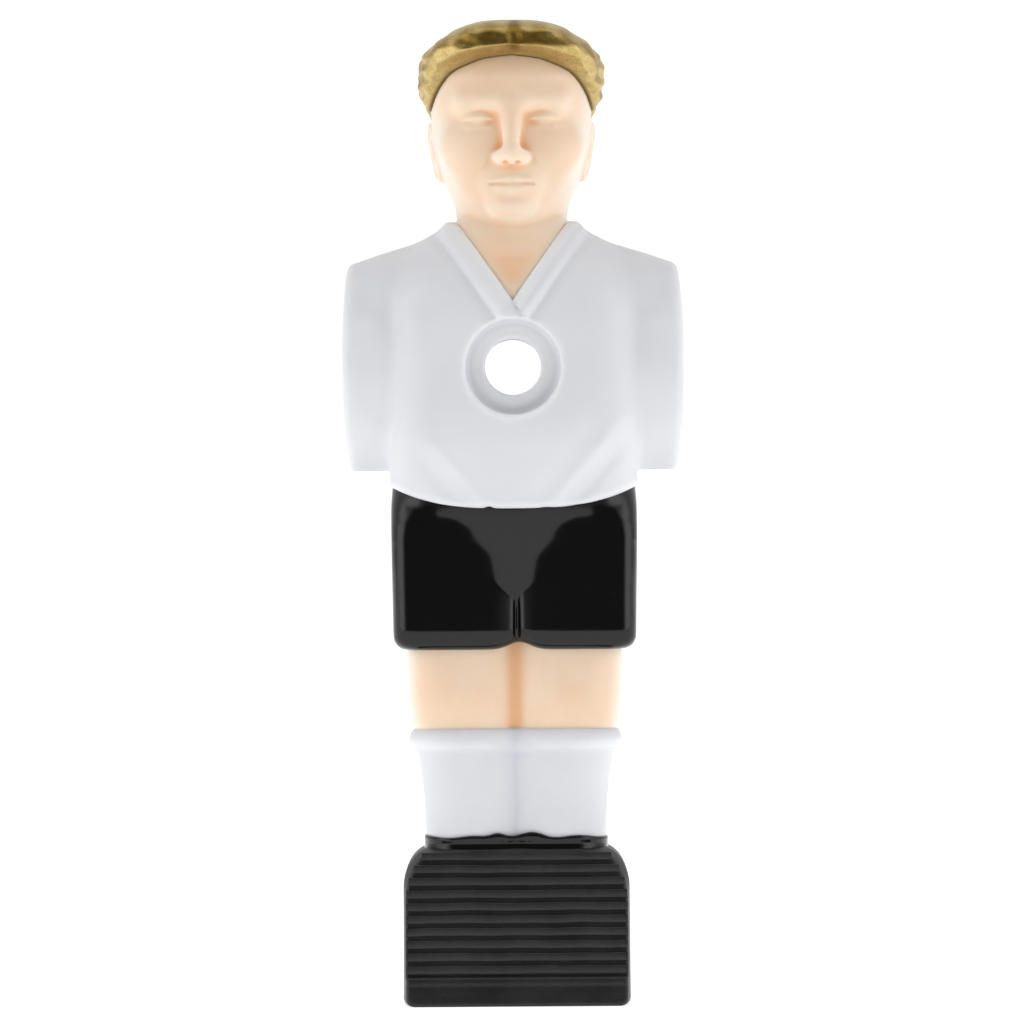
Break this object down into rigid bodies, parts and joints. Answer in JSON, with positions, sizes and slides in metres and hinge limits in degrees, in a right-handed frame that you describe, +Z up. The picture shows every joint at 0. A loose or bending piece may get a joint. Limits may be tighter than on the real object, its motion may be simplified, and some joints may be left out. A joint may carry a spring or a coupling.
{
  "type": "foosball player figure",
  "caption": "Standing foosball player with a wide boss across the shoulders for the rod, a screw seat in the chest and a ribbed kicking block for feet.",
  "frame": {"origin": "middle of the kicking block's sole, on the surface that the figure stands on", "axes": "+Z up towards the head, -Y the way that the figure faces, +X towards the figure's left hand"},
  "size_m": [0.0374, 0.0246, 0.108],
  "materials": {
    "skin_plastic": "satin, slightly translucent",
    "gold_paint": "metallic flake paint over plastic",
    "white_plastic": "semi-gloss",
    "black_gloss_plastic": "high gloss",
    "black_satin_plastic": "satin"
  },
  "bodies": {
    "root": {"head": "skin_plastic", "hair": "gold_paint", "jersey": "white_plastic", "shorts": "black_gloss_plastic", "legs": "skin_plastic", "sock_right": "white_plastic", "sock_left": "white_plastic", "boot_right": "black_gloss_plastic", "boot_left": "black_gloss_plastic", "kicking_block": "black_satin_plastic"}
  },
  "joints": []
}
